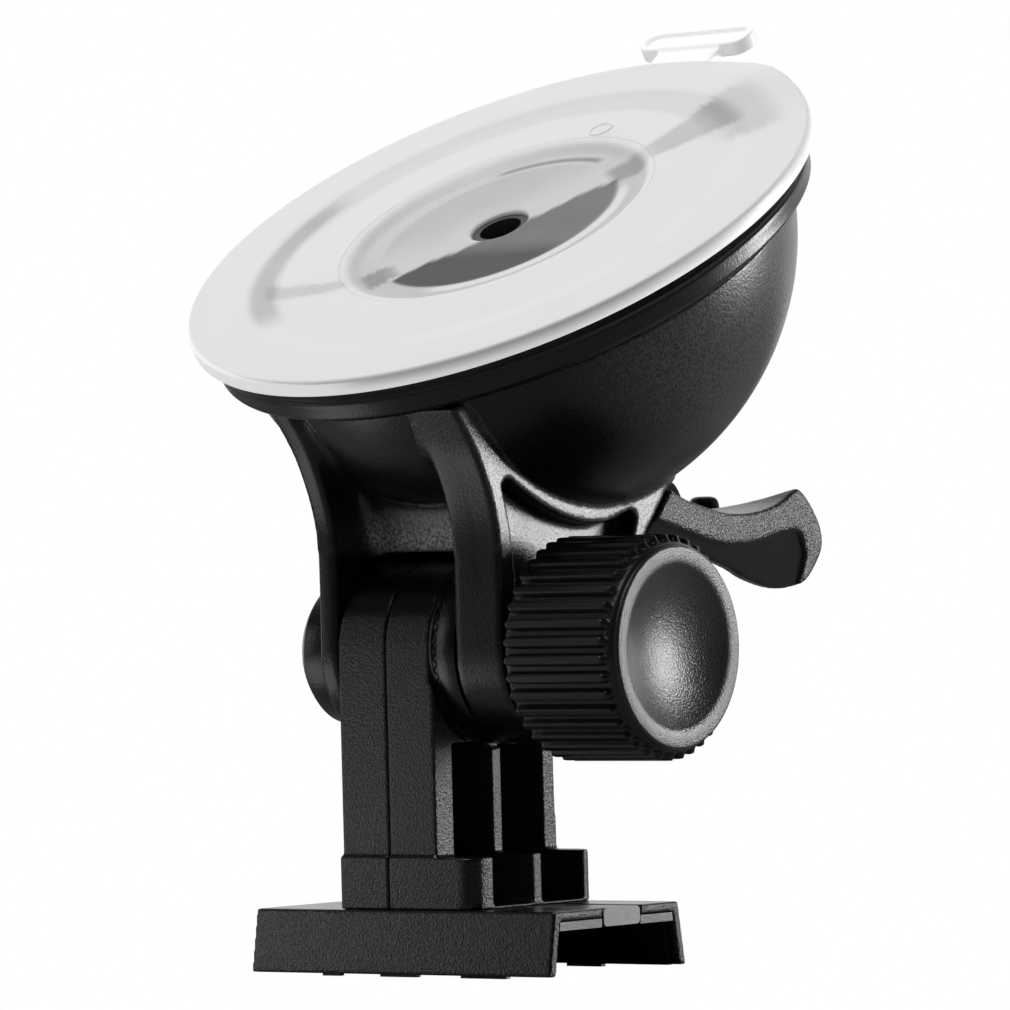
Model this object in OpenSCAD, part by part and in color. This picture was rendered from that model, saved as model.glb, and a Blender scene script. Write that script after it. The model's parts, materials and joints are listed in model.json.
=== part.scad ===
// Suction-cup windscreen mount for a dash camera.
// A cup with a cam lever, a yoke, a tilting stem clamped by a knob, and a slide-in camera cradle.
// X runs along the tilt hinge, towards the knob. Z is up. The origin lies on the cradle's roof, below the hinge.

/* [Cup] */
// Radius of the clear suction pad
pad_r = 33.4; // [32.5:0.1:36]
// Thickness of the pad at its edge
pad_edge = 1.8; // [1.4:0.1:2.2]
// Radius of the shallow recess in the middle of the pad
pad_recess_r = 16; // [14:0.5:18]
// Outer radius of the black rim ring under the pad
rim_r = 32; // [31:0.5:32.5]
// Radius of the round dome
dome_r = 29.7; // [29.2:0.1:30]
// Wall thickness of the dome
dome_wall = 1.8; // [1.4:0.1:2.4]
// Angle between the cup's axis and the vertical
cup_tilt = 29.6; // [25:0.2:35]

/* [Yoke] */
// Distance from the yoke's middle plane to the outer face of each arm
yoke_half = 11.6; // [11.2:0.1:12]
// Radius of the round ends of the arms
arm_r = 9.4; // [9:0.1:9.6]
// Thickness of the left arm
left_arm = 2.3; // [2:0.1:2.3]
// Thickness of the right arm
right_arm = 6; // [5.8:0.1:6]

/* [Stem and hinge] */
// Height of the tilt hinge above the roof of the cradle
hinge_h = 27.45; // [26:0.05:30]
// Radius of the stem's round top, half of the stem's depth
stem_r = 9.5; // [9:0.1:9.6]
// Number of ratchet teeth, so one step of tilt is 7.5 degrees at 48
tooth_count = 48; // [48:24:48]
// Height of a ratchet tooth
tooth_h = 0.5; // [0.3:0.05:0.5]
// Radius of the hinge bolt
bolt_r = 2.5; // [2.2:0.1:2.6]

/* [Knob] */
// Radius over the crests of the knurl
knob_r = 11.15; // [10.5:0.05:12]
// Length of the knob
knob_len = 13.8; // [11:0.1:15]
// Number of grooves in the knurl
groove_count = 38; // [24:1:48]
// Depth of a groove
groove_depth = 0.75; // [0.4:0.05:1]

/* [Lever] */
// Radius of the lever's two round cams
cam_r = 4; // [3.9:0.05:4]
// Distance from the lever's pin to the middle of the cams
cam_offset = 3; // [2.6:0.1:3]
// Angle of the open lever's cams, measured from the pad plane
cam_start = 25; // [25:1:28]

/* [Cradle] */
// Length of the cradle to the left of the middle plane
cradle_left = 20; // [18:0.5:22]
// Length of the cradle to the right of the middle plane
cradle_right = 17.9; // [16:0.1:20]
// Half of the cradle's width at its top
cradle_top = 10.1; // [10:0.1:11]
// Half of the cradle's width at its bottom edge
cradle_bottom = 11.15; // [11:0.05:12]
// Depth of the channel that the camera slides into
channel_depth = 4.45; // [4.2:0.05:5.5]
// Width of the spring latch
latch_w = 5.9; // [5:0.1:6.2]

/* [Hidden] */
$fn = 64;

fit = 0.05;        // running clearance of a shaft or a face
eps = 0.01;        // overrun of a cut past a face

// Cup, measured in its own frame: z up from the pad's face, y away from the yoke
hinge_back = 27;   // how far the hinge lies in front of the cup's axis
hinge_drop = 34.6; // how far the hinge lies below the pad's face
sphere_z = -2.2;   // centre of the dome's sphere
rim_top = -2;
rim_bottom = -5.95;
spigot_r = 27.4;   // where the dome's spigot meets the inside of the rim ring
spigot_in = 25.6;
seat_z = -32.5;    // flat face under the dome that the cams press on
seat_r = 8.5;
guide_r = 7.6;     // boss inside the dome that guides the stud
guide_top = -18.6;
stud_r = 3;
stud_top = -1.3;
hole_r = 3.1;      // hole in the middle of the pad
recess_z = -0.9;   // face of the pad's recess
pad_under = -2.4;
insert_r = 12;
insert_h = 2;
insert_hub_r = 4.4;
insert_hub_h = 6;

// Pin that joins the lever to the stud
pin_z = -35.3;
pin_r = 1;
lever_half = yoke_half;
panel_half = lever_half - 0.5;
slot_half = 3.1;
cam_half = 4.6;
cheek_half = 9.2;
slot_back = 6.5;   // how far the lever's slot reaches behind its pin

// Positions along the hinge
left_in = -yoke_half + left_arm;
right_in = yoke_half - right_arm;
stem_left = left_in + 0.15;
stem_seam = -3.1;
ratchet_t = 0.4;    // thickness of the stem's ratchet ring under its teeth
mesh_gap = 0.05;
mesh_left = 3.1 - (tooth_h + mesh_gap) / 2;
mesh_right = mesh_left + tooth_h + mesh_gap;
ring_in = 8;
knob_x = 12.6;
knob_end = knob_x + knob_len;
washer_x = 12;
bolt_end = 22.6;

// Cradle and stem, heights above the cradle's roof face
liner_t = 0.9;
screw_r = 0.7;
screw_head_r = 1.5;
roof_t = 1.9;
foot_top = hinge_h - 20.35;
stem_back = 10.1;  // back of the stem where it meets the foot
pocket_floor = -6;
front_wall = 2.9;
back_wall = 2.1;
rib_from = -0.25;
rib_to = 1.2;
foot_left = -9.35;
foot_right = 7.7;
foot_front = -9.8;
foot_back = 10.1;
latch_x = 8.5;
latch_y = 0.75;
latch_gap = 0.2;

// Points on an arc about c, from angle a0 to a1
function arc(c, r, a0, a1, n = 12) = [
    for (i = [0:n]) let (a = a0 + (a1 - a0) * i / n) [c[0] + r * cos(a), c[1] + r * sin(a)]
];

// One point on a smooth curve through four neighbours
function spline_at(a, b, c, d, t) =
    0.5 * (2 * b + (c - a) * t + (2 * a - 5 * b + 4 * c - d) * t * t + (3 * b - a - 3 * c + d) * t * t * t);

// Smooth curve through all the points of a list
function smooth(p, n = 4) = concat(
    [for (i = [0:len(p) - 2], k = [0:n - 1])
        spline_at(p[max(i - 1, 0)], p[i], p[i + 1], p[min(i + 2, len(p) - 1)], k / n)],
    [p[len(p) - 1]]
);

module at_hinge() { translate([0, 0, hinge_h]) children(); }

// The cup's own frame: origin in the middle of the pad's face
module in_cup() {
    at_hinge() rotate([cup_tilt, 0, 0]) translate([0, hinge_back, hinge_drop]) children();
}

// A side profile drawn as (y, z), made solid from x0 to x1
module side(x0, x1) {
    translate([x0, 0, 0]) rotate([90, 0, 90]) linear_extrude(x1 - x0) children();
}

module rod_x(x0, x1, r) { translate([x0, 0, 0]) rotate([0, 90, 0]) cylinder(h = x1 - x0, r = r); }

module ring_x(x0, x1, r, bore) {
    difference() {
        rod_x(x0, x1, r);
        rod_x(x0 - eps, x1 + eps, bore);
    }
}

// ---- Cup ----

module suction_pad() {
    tab_neck = 4;
    tab_reach = 6.6;
    tab_x = 1.3;
    tab_half = 5.2;
    tab_end_r = 1.9;
    color("gainsboro", 0.6) in_cup() {
        rotate_extrude($fn = 128) polygon([
            [hole_r, recess_z], [pad_recess_r - 0.8, recess_z], [pad_recess_r + 0.6, -0.1],
            [25.4, -0.1], [25.9, -0.35], [26.7, -0.35], [27.2, 0],
            [pad_r - 0.3, 0], [pad_r, -0.3], [pad_r, -pad_edge + 0.3], [pad_r - 0.4, -pad_edge],
            [26, -pad_edge], [23, pad_under], [hole_r, pad_under]
        ]);
        translate([tab_x, 0, 0]) difference() {
            union() {
                translate([-tab_neck, pad_r - 1, -pad_edge + 0.1])
                    cube([2 * tab_neck, tab_reach - 2 * tab_end_r + 2, pad_edge - 0.4]);
                translate([-tab_half, pad_r + tab_reach - 2 * tab_end_r, -pad_edge + 0.1])
                    cube([2 * tab_half, 2 * tab_end_r, pad_edge - 0.1]);
                for (s = [-1, 1]) translate([s * tab_half, pad_r + tab_reach - tab_end_r, -pad_edge + 0.1])
                    cylinder(h = pad_edge - 0.1, r = tab_end_r);
            }
            translate([-tab_half, pad_r + tab_reach - 2 * tab_end_r + 0.8, -0.6])
                cube([2 * tab_half, 2 * tab_end_r - 1.6, 1]);
        }
    }
}

module pad_insert() {
    color([0.16, 0.16, 0.17]) in_cup() rotate_extrude() polygon([
        [stud_r, pad_under], [insert_r - 0.4, pad_under], [insert_r, pad_under - 0.4],
        [insert_r, pad_under - insert_h], [insert_hub_r, pad_under - insert_h],
        [insert_hub_r, pad_under - insert_h - insert_hub_h], [stud_r, pad_under - insert_h - insert_hub_h]
    ]);
}

module pull_stud() {
    eye_r = 2.5;
    neck = 3;
    socket_r = 2.2;
    socket_depth = 5;
    color("dimgray") in_cup() difference() {
        union() {
            translate([0, 0, pin_z + neck]) cylinder(h = stud_top - pin_z - neck, r = stud_r);
            intersection() {
                translate([0, 0, pin_z]) cylinder(h = neck + eps, r = stud_r);
                translate([-eye_r, -eye_r, pin_z]) cube([2 * eye_r, 2 * eye_r, neck + eps]);
            }
            translate([0, 0, pin_z]) rod_x(-1.6, 1.6, eye_r);
        }
        translate([0, 0, stud_top - socket_depth]) cylinder(h = socket_depth + 1, r = socket_r);
        translate([0, 0, pin_z]) rod_x(-4, 4, pin_r);
    }
}

// Round wire bent into a helix with flat end turns
module return_spring() {
    wire_r = 0.6;
    coil_r = 6;
    turns = 6.5;
    sides = 8;
    per_turn = 20;
    rings = round(turns * per_turn);
    low = guide_top + wire_r + fit;
    high = pad_under - insert_h - wire_r - fit;
    rise = high - low;
    closed = 2.1 * wire_r;
    function climb(t) = t < 1 ? closed * t
        : t > turns - 1 ? rise - closed * (turns - t)
        : closed + (rise - 2 * closed) * (t - 1) / (turns - 2);
    points = [for (i = [0:rings], k = [0:sides - 1])
        let (t = i / per_turn, a = 360 * t, b = 360 * k / sides, r = coil_r + wire_r * cos(b))
            [r * cos(a), r * sin(a), low + climb(t) + wire_r * sin(b)]];
    walls = [for (i = [0:rings - 1], k = [0:sides - 1])
        let (a = i * sides + k, b = i * sides + (k + 1) % sides) [a, a + sides, b + sides, b]];
    ends = [[for (k = [0:sides - 1]) k], [for (k = [sides - 1:-1:0]) rings * sides + k]];
    color("silver") in_cup() polyhedron(points, concat(walls, ends), convexity = 8);
}

module rim_ring() {
    color([0.13, 0.13, 0.13]) in_cup() rotate_extrude($fn = 128) polygon([
        [spigot_r, rim_bottom], [rim_r - 0.7, rim_bottom], [rim_r - 0.25, -4.9], [rim_r, -3.6], [rim_r - 0.3, -3.4],
        [rim_r - 0.3, -2.3], [rim_r - 0.6, rim_top], [spigot_r, rim_top]
    ]);
}

// Front edge of an arm as (y, z) about the hinge, from the rim down to its round end
arm_front = smooth([[-16.6, 24.6], [-13.3, 20.5], [-11.5, 17.4], [-10.1, 13.9], [-9.5, 10.8], [-9.35, 6.4], [-arm_r, 0]], 3);
// Line where the arms end and the lever begins
seam_low = [15, 11.3];
seam_high = [18.9, 15.9];

module arm_profile() {
    polygon(concat(
        arm_front, arc([0, 0], arm_r, 187.5, 352.5, 22),
        [[arm_r, 0], [10.6, 5.4], seam_low, seam_high, [20, 21], [-10, 30]]
    ));
}

// Web that joins the arms, hollowed to clear the turning stem
module web_profile() {
    clear_r = stem_r + 0.45;
    polygon(concat(
        smooth([[-5.3, 15.5], [-4.5, 13.4], [-3.9, 11.6], [-3.4, clear_r]], 3),
        arc([0, 0], clear_r, 96, 60, 8),
        [[10.6, 5.37], seam_low, seam_high, [18, 22], [-2, 22]]
    ));
}

// Recess in the outer face of the right arm, above the knob
module arm_pocket_profile() {
    polygon(concat(
        smooth([[-6.4, 0], [-6.6, 6], [-7, 10.5], [-7.7, 13.8], [-8.5, 16.4]], 3),
        smooth([[-7.6, 17], [-3, 14.6], [2, 12.9], [7.5, 12.3], [12.5, 13.6]], 3),
        [[13.2, 13], [12.6, 11.2], [8.6, 5]],
        arc([0, 0], 6.4, 350, 190, 12)
    ));
}

// Round shell of the dome with the cam seat under it
module dome_outside() {
    intersection() {
        translate([0, 0, sphere_z]) sphere(r = dome_r, $fn = 96);
        translate([0, 0, rim_bottom - 40]) cylinder(h = 40, r = 40);
    }
    translate([0, 0, seat_z]) cylinder(h = 8, r = seat_r);
}

// Both arms and the web between them, cut off under the rim ring
module yoke() {
    difference() {
        at_hinge() {
            side(-yoke_half, left_in) arm_profile();
            side(right_in, yoke_half) arm_profile();
            side(left_in - eps, right_in + eps) web_profile();
        }
        in_cup() translate([-40, -60, rim_bottom]) cube([80, 120, 40]);
    }
}

// Spigot that holds the rim ring, and the boss that guides the stud
module dome_inside() {
    spigot_deep = 3.6;
    spigot_low = 0.5;
    difference() {
        translate([0, 0, rim_bottom - spigot_deep])
            cylinder(h = rim_top - spigot_low - rim_bottom + spigot_deep, r = spigot_r, $fn = 128);
        translate([0, 0, rim_bottom - 10]) cylinder(h = 20, r = spigot_in, $fn = 128);
    }
    translate([0, 0, seat_z + 2.4]) cylinder(h = guide_top - seat_z - 2.4, r = guide_r);
}

module dome_housing() {
    pocket_depth = 2.4;
    color([0.1, 0.1, 0.1]) difference() {
        union() {
            difference() {
                union() {
                    in_cup() dome_outside();
                    yoke();
                }
                in_cup() translate([0, 0, sphere_z]) sphere(r = dome_r - dome_wall, $fn = 96);
            }
            in_cup() dome_inside();
        }
        in_cup() translate([0, 0, seat_z - 1]) cylinder(h = 20, r = stud_r + fit);
        at_hinge() {
            side(yoke_half - pocket_depth, yoke_half + eps) difference() {
                arm_pocket_profile();
                circle(r = 5.4);
            }
            rod_x(-yoke_half - 1, yoke_half + 1, bolt_r + fit);
            rod_x(right_in - eps, right_in + 1.2, arm_r - 1.2);
        }
    }
}

// ---- Lever and its pin ----

lever_top = [[19.2, 15.55], [22.11, 14.4], [27.38, 13.2], [30.81, 12.9], [34.36, 13.1], [37.9, 13.9], [40.59, 15.2]];
lever_tip = [[40.59, 15.2], [41.45, 15.2], [43.17, 13.8], [44.78, 11.6], [45.21, 9.9], [44.75, 8.4], [42.6, 6.1], [40.9, 5.3]];
lever_belly = [[40.9, 5.3], [38.44, 5.05], [35.75, 5.35], [32.32, 6.25], [29.74, 7.3], [25.87, 8.4], [20.07, 9.7], [15.35, 11.05]];
band_under = [[42.3, 8.6], [41.2, 10.9], [37.8, 10.8], [34.25, 10.1], [30.71, 9.8], [27.27, 10], [22.01, 11.2], [16.7, 12.6]];

// Roof of the hollow under the lever, from its root to past its tip
hollow_roof = [[23.6, 9.6], [27.3, 9.3], [30.7, 9.1], [34.25, 9.4], [37.8, 10.1], [41, 10.2], [46, 10.2]];
hollow_low = 3;

module band_profile() { polygon(concat(smooth(lever_top, 3), smooth(lever_tip, 3), smooth(band_under, 3))); }

module panel_profile() {
    polygon(concat(smooth(lever_top, 3), smooth([for (i = [0:3]) lever_tip[i]], 3), [[43.7, 10], [43, 8.6]],
        smooth(lever_belly, 3)));
}

module lever() {
    scoop_r = 30;
    scoop_deep = 2;
    wall = 1.3;
    color([0.2, 0.2, 0.2]) difference() {
        union() {
            at_hinge() {
                side(-lever_half, lever_half) band_profile();
                side(-panel_half, panel_half) panel_profile();
            }
            in_cup() translate([0, 0, pin_z]) translate([0, cam_offset * cos(cam_start), -cam_offset * sin(cam_start)])
                for (x = [-cam_half, slot_half]) rod_x(x, x + cam_half - slot_half, cam_r);
        }
        in_cup() {
            translate([0, 0, pin_z]) rod_x(-cam_half - 0.3, cam_half + 0.3, pin_r + fit);
            translate([-slot_half, -12, pin_z - 12]) cube([2 * slot_half, 12 + slot_back, 20]);
            translate([-cheek_half - 0.1, -12, seat_z - 0.07]) cube([2 * cheek_half + 0.2, 24, 8]);
        }
        at_hinge() {
            translate([0, 34.5, 15.2 + scoop_r - scoop_deep]) rotate([0, 90, 90]) cylinder(h = 10.5, r = scoop_r);
            side(wall - panel_half, panel_half - wall)
                polygon(concat(smooth(hollow_roof, 3), [[46, hollow_low], [23.6, hollow_low]]));
        }
    }
}

module lever_pin() {
    color("silver") in_cup() translate([0, 0, pin_z]) rod_x(-cam_half, cam_half, pin_r);
}

// ---- Hinge ----

// A ring of face teeth: radial ridges on the face at x0, pointing along dir
module teeth(x0, dir, turn) {
    ridge = 0.5;
    root = 0.2;
    for (i = [0:tooth_count - 1]) rotate([turn + 360 / tooth_count * i, 0, 0])
        translate([x0, 0, ring_in]) linear_extrude(arm_r - ring_in - 0.05)
            polygon([[-root * dir, -ridge], [-root * dir, ridge], [0, ridge], [tooth_h * dir, 0], [0, -ridge]]);
}

module ratchet_ring() {
    color([0.14, 0.14, 0.14]) at_hinge() {
        ring_x(mesh_right, right_in, arm_r, bolt_r + 0.4);
        ring_x(right_in - eps, right_in + 1.15, arm_r - 1.25, bolt_r + 0.4);
        teeth(mesh_right, -1, 180 / tooth_count);
    }
}

module stem_ratchet() {
    color([0.14, 0.14, 0.14]) at_hinge() {
        rotate([180 / tooth_count, 0, 0]) ring_x(mesh_left - ratchet_t, mesh_left, arm_r, 6.2);
        teeth(mesh_left, 1, 0);
    }
}

module hinge_bolt() {
    head_r = 4.6;
    color("silver") at_hinge() {
        rod_x(-yoke_half - 3.4, -yoke_half, head_r, $fn = 6);
        rod_x(-yoke_half - eps, bolt_end, bolt_r);
    }
}

module bolt_cap() {
    cap_r = 7.3;
    cap_side = 3.7;
    cap_dome = 3.5;
    ball_r = (cap_r * cap_r + cap_dome * cap_dome) / (2 * cap_dome);
    color([0.12, 0.12, 0.12]) at_hinge() difference() {
        union() {
            rod_x(-yoke_half - cap_side, -yoke_half, cap_r);
            intersection() {
                translate([-yoke_half - cap_side - cap_dome + ball_r, 0, 0]) sphere(r = ball_r);
                rod_x(-yoke_half - cap_side - cap_dome - 1, -yoke_half - cap_side + eps, cap_r);
            }
        }
        rod_x(-yoke_half - 3.9, -yoke_half + eps, 5.3);
    }
}

module clamp_washer() {
    color("silver") at_hinge() ring_x(yoke_half, washer_x - fit, 5.2, bolt_r + fit);
}

module spring_washer() {
    color("silver") at_hinge() ring_x(washer_x, knob_x, 4.4, bolt_r + fit);
}

module knob() {
    color([0.09, 0.09, 0.09]) at_hinge() difference() {
        union() {
            rod_x(knob_x, knob_end - 0.5, knob_r);
            rod_x(knob_end - 0.5 - eps, knob_end, knob_r - 0.5);
        }
        for (i = [0:groove_count - 1]) rotate([360 / groove_count * i, 0, 0])
            translate([knob_x - eps, -0.4, knob_r - groove_depth]) cube([knob_len - 1.3, 0.8, 2]);
        rod_x(knob_x - eps, bolt_end + 1.6, bolt_r + 0.3);
        rod_x(knob_x + 1.2, bolt_end - 1.5, 4);
        rod_x(knob_end - 2.4, knob_end + eps, 9.3);
        difference() {
            rod_x(knob_x - eps, knob_x + 8, knob_r - 2.4);
            rod_x(knob_x - 1, knob_x + 9, 5.6);
        }
    }
}

// Round cap with a dished face, revolved about the hinge
module knob_cap() {
    cap_r = 9.3;
    cap_t = 2.4;
    dish_r = 8.4;
    dish_depth = 1.5;
    ball_r = (dish_r * dish_r + dish_depth * dish_depth) / (2 * dish_depth);
    half_angle = asin(dish_r / ball_r);
    dish = arc([0, knob_end - dish_depth + ball_r], ball_r, -90, -90 + half_angle, 10);
    color([0.3, 0.3, 0.3]) at_hinge() rotate([0, 90, 0])
        rotate_extrude() polygon(concat(dish, [[cap_r, knob_end], [cap_r, knob_end - cap_t], [0, knob_end - cap_t]]));
}

module knob_insert() {
    color("goldenrod") at_hinge() ring_x(knob_x + 1.2, bolt_end - 1.5, 4, bolt_r + fit);
}

// ---- Stem ----

module stem_outline() {
    drop = foot_top - hinge_h - eps;
    circle(r = stem_r);
    polygon([[0, 0], [stem_r, 0], [stem_back, drop], [0, drop]]);
    translate([-stem_r, foot_top - hinge_h - eps]) square([2 * stem_r, hinge_h - foot_top + eps]);
}

module foot_block(x0, x1) {
    corner = x1 > 5 ? 2 : 0.3;
    h = foot_top - roof_t;
    translate([0, 0, roof_t]) {
        translate([x0, foot_front, 0]) cube([x1 - x0 - corner, foot_back - foot_front, h]);
        translate([x0, foot_front + corner, 0]) cube([x1 - x0, foot_back - foot_front - 2 * corner, h]);
        for (y = [foot_front + corner, foot_back - corner]) translate([x1 - corner, y, 0])
            cylinder(h = h, r = corner);
    }
}

// The two deep pockets that are open towards the knob's side
module stem_pockets() {
    top = hinge_h - arm_r + 0.2;
    low = roof_t + 0.3;
    x1 = foot_right + 1;
    for (span = [[-stem_r + front_wall, rib_from], [rib_to, stem_back - back_wall]]) {
        translate([pocket_floor, span[0], low]) cube([x1 - pocket_floor, span[1] - span[0], top - low]);
    }
}

// Three screws that join the stem's halves, or with an overrun the holes for them
module screw_set(r, head_r, head_h, overrun) {
    for (y = [-5.8, 5.8]) translate([0, y, hinge_h - 2]) {
        rod_x(stem_left - overrun, 0.5, r);
        rod_x(stem_left - overrun, stem_left + head_h, head_r);
    }
    translate([0, 0.8, roof_t + 2.6]) {
        rod_x(foot_left - overrun, 0.5, r);
        rod_x(foot_left - overrun, foot_left + head_h, head_r);
    }
}

// Three places where the cradle is screwed to the foot: two behind the pockets and one in the front wall
base_screw_at = [[-7.7, -7], [-7.7, 7], [1.5, -7.35]];

module base_screw_holes(r) {
    for (p = base_screw_at) translate([p[0], p[1], -eps]) cylinder(h = 5.6, r = r);
}

module stem_half_left() {
    color([0.13, 0.13, 0.13]) difference() {
        union() {
            at_hinge() side(stem_left, stem_seam) stem_outline();
            foot_block(foot_left, stem_seam);
        }
        at_hinge() rod_x(stem_left - 1, stem_seam + 1, bolt_r + fit);
        stem_pockets();
        screw_set(1.1, 2.1, 1.6, 1);
        base_screw_holes(screw_r + fit);
    }
}

module stem_half_right() {
    color([0.16, 0.16, 0.16]) difference() {
        union() {
            at_hinge() side(stem_seam, mesh_left) stem_outline();
            foot_block(stem_seam, foot_right);
        }
        at_hinge() rod_x(stem_seam - 1, foot_right, bolt_r + fit);
        at_hinge() ring_x(mesh_left - ratchet_t, mesh_left + 1, arm_r + 0.5, 6.2);
        stem_pockets();
        screw_set(1.1, 2.1, 1.6, 1);
        base_screw_holes(screw_r + fit);
    }
}

module stem_screws() { color("silver") screw_set(1.05, 2, 1.5, 0); }

// ---- Cradle ----

// Half of the cradle's width at a height z, with draughted walls
function cradle_half(z) = cradle_top + (cradle_bottom - cradle_top) * (roof_t - z) / (roof_t + channel_depth);

// Section of the cradle as (y, z), up to a height z and with its walls moved inwards by t
module cradle_section(t, z, low = -channel_depth) {
    polygon([[-cradle_half(low) + t, low], [-cradle_half(z) + t, z], [cradle_half(z) - t, z], [cradle_half(low) - t, low]]);
}

// Notch in the roof for the latch, with a round end for the latch's round root
module latch_cut() {
    half = latch_w / 2 + latch_gap;
    translate([latch_x, latch_y - half, -2]) cube([cradle_right, 2 * half, 6]);
    translate([latch_x, latch_y + half, roof_t / 2]) rotate([90, 0, 0]) cylinder(h = 2 * half, r = roof_t / 2 + fit);
}

module base_shell() {
    shell_t = 1.1;
    end_wall = 1.4;
    color([0.13, 0.13, 0.13]) difference() {
        side(-cradle_left, cradle_right) cradle_section(0, roof_t);
        side(-cradle_left + end_wall, cradle_right + 1) cradle_section(shell_t, liner_t, -channel_depth - 1);
        latch_cut();
        base_screw_holes(screw_r + fit);
    }
}

module rail_liner() {
    side_gap = 1.15;
    leg = 0.7;
    leg_back = 0.8;
    claw = 0.3;
    claw_low = -channel_depth - claw;
    x0 = -cradle_left + 1.45;
    x1 = cradle_right - 0.1;
    color([0.1, 0.1, 0.1]) difference() {
        union() {
            difference() {
                side(x0, x1 - leg_back) cradle_section(side_gap, liner_t - fit);
                side(x0 - 1, x1) cradle_section(side_gap + leg, 0, -channel_depth - 1);
            }
            side(x1 - leg_back - eps, x1) cradle_section(side_gap, liner_t - fit, 0);
            for (span = [[-11.7, 2.2], [-4.3, 4.6], [5.9, 5.7]])
                translate([span[0], -cradle_half(claw_low) + side_gap, claw_low]) cube([span[1], leg, claw + 0.2]);
            translate([4.2, cradle_half(claw_low) - side_gap - leg, claw_low]) cube([4.4, leg, claw + 0.2]);
        }
        latch_cut();
        base_screw_holes(screw_head_r + fit);
    }
}

// Spring latch in the roof, held by its round root at latch_x
module latch_tongue() {
    corner = 0.5;
    h = roof_t - 0.1;
    color([0.35, 0.35, 0.35]) {
        side(latch_x, cradle_right) translate([latch_y, roof_t / 2]) {
            square([latch_w - 2 * corner, h], center = true);
            square([latch_w, h - 2 * corner], center = true);
            for (y = [-1, 1], z = [-1, 1])
                translate([y * (latch_w / 2 - corner), z * (h / 2 - corner)]) circle(r = corner);
        }
        translate([latch_x, latch_y + latch_w / 2 - 0.2, roof_t / 2]) rotate([90, 0, 0])
            cylinder(h = latch_w - 0.4, r = h / 2);
    }
}

module base_screws() {
    color("silver") for (p = base_screw_at) translate([p[0], p[1], 0]) {
        cylinder(h = 5.4, r = screw_r);
        cylinder(h = liner_t, r = screw_head_r);
    }
}

suction_pad();
pad_insert();
pull_stud();
return_spring();
rim_ring();
dome_housing();
lever();
lever_pin();
ratchet_ring();
hinge_bolt();
bolt_cap();
clamp_washer();
spring_washer();
knob();
knob_cap();
knob_insert();
stem_half_left();
stem_half_right();
stem_ratchet();
stem_screws();
base_shell();
rail_liner();
latch_tongue();
base_screws();
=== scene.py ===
"""Looks of a dash camera's suction mount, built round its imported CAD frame. Metres, in the frame's axes."""

import json
import math

import bmesh
import bpy
import numpy as np
from mathutils import Matrix, Vector


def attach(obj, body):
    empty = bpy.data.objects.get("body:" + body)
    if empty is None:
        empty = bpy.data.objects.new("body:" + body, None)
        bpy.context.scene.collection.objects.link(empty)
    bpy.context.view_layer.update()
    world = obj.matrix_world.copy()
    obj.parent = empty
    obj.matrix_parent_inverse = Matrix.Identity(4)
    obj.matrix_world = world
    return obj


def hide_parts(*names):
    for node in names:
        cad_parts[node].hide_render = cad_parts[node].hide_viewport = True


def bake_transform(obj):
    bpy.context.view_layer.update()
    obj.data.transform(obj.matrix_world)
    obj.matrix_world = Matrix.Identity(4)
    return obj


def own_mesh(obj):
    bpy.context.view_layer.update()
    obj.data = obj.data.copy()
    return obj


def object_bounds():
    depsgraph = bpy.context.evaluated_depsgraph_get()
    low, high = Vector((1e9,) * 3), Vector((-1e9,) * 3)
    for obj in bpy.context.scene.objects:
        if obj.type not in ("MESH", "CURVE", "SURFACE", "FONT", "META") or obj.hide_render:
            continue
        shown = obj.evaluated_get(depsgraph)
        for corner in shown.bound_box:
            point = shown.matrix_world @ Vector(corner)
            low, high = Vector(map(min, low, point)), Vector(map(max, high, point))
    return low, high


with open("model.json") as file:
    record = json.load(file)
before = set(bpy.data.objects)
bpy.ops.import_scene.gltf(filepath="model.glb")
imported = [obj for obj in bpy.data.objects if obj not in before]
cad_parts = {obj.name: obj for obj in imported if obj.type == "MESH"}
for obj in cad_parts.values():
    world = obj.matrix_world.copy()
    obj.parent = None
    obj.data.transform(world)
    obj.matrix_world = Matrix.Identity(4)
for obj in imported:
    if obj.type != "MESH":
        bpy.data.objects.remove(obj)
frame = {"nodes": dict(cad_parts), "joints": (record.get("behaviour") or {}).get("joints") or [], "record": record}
cad_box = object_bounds()

MM = 0.001
JOINTS = {j["name"]: j for j in frame["joints"]}
MOUNTS = {m["name"]: m for m in frame["record"]["mounts"]}
HINGE = Vector(JOINTS["tilt"]["pos_m"])
CUP_UP = -Vector(JOINTS["pad_pull"]["axis"])
PAD_FACE = Vector((0, *MOUNTS["glass_face"]["pos_m"][1:]))
CUP_TILT = math.atan2(-CUP_UP.y, CUP_UP.z)
IN_CUP = Matrix.Translation(PAD_FACE) @ Matrix.Rotation(CUP_TILT, 4, "X")
# The pad and its ring sit a little higher on the knob's side
ASKEW = Matrix.Rotation(math.radians(-1.09), 4, "Y")


# ---- Camera and light ----

def make_camera():
    """The camera stands level, a long way off, at the height of the stem's head."""
    azimuth, roll = math.radians(38), math.radians(-1.5)
    distance, lens = 0.8, 284
    aim = HINGE + Vector((2.03, 4.0, 14.4)) * MM
    back = Vector((math.sin(azimuth), -math.cos(azimuth), 0))
    camera = bpy.data.objects.new("camera", bpy.data.cameras.new("camera"))
    bpy.context.scene.collection.objects.link(camera)
    camera.data.lens = lens
    camera.data.sensor_width = 36
    camera.data.clip_start, camera.data.clip_end = 0.05, 20
    camera.location = aim + back * distance
    turn = (-back).to_track_quat("-Z", "Y").to_matrix().to_4x4() @ Matrix.Rotation(roll, 4, "Z")
    camera.rotation_euler = turn.to_euler()
    bpy.context.scene.camera = camera


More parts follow.
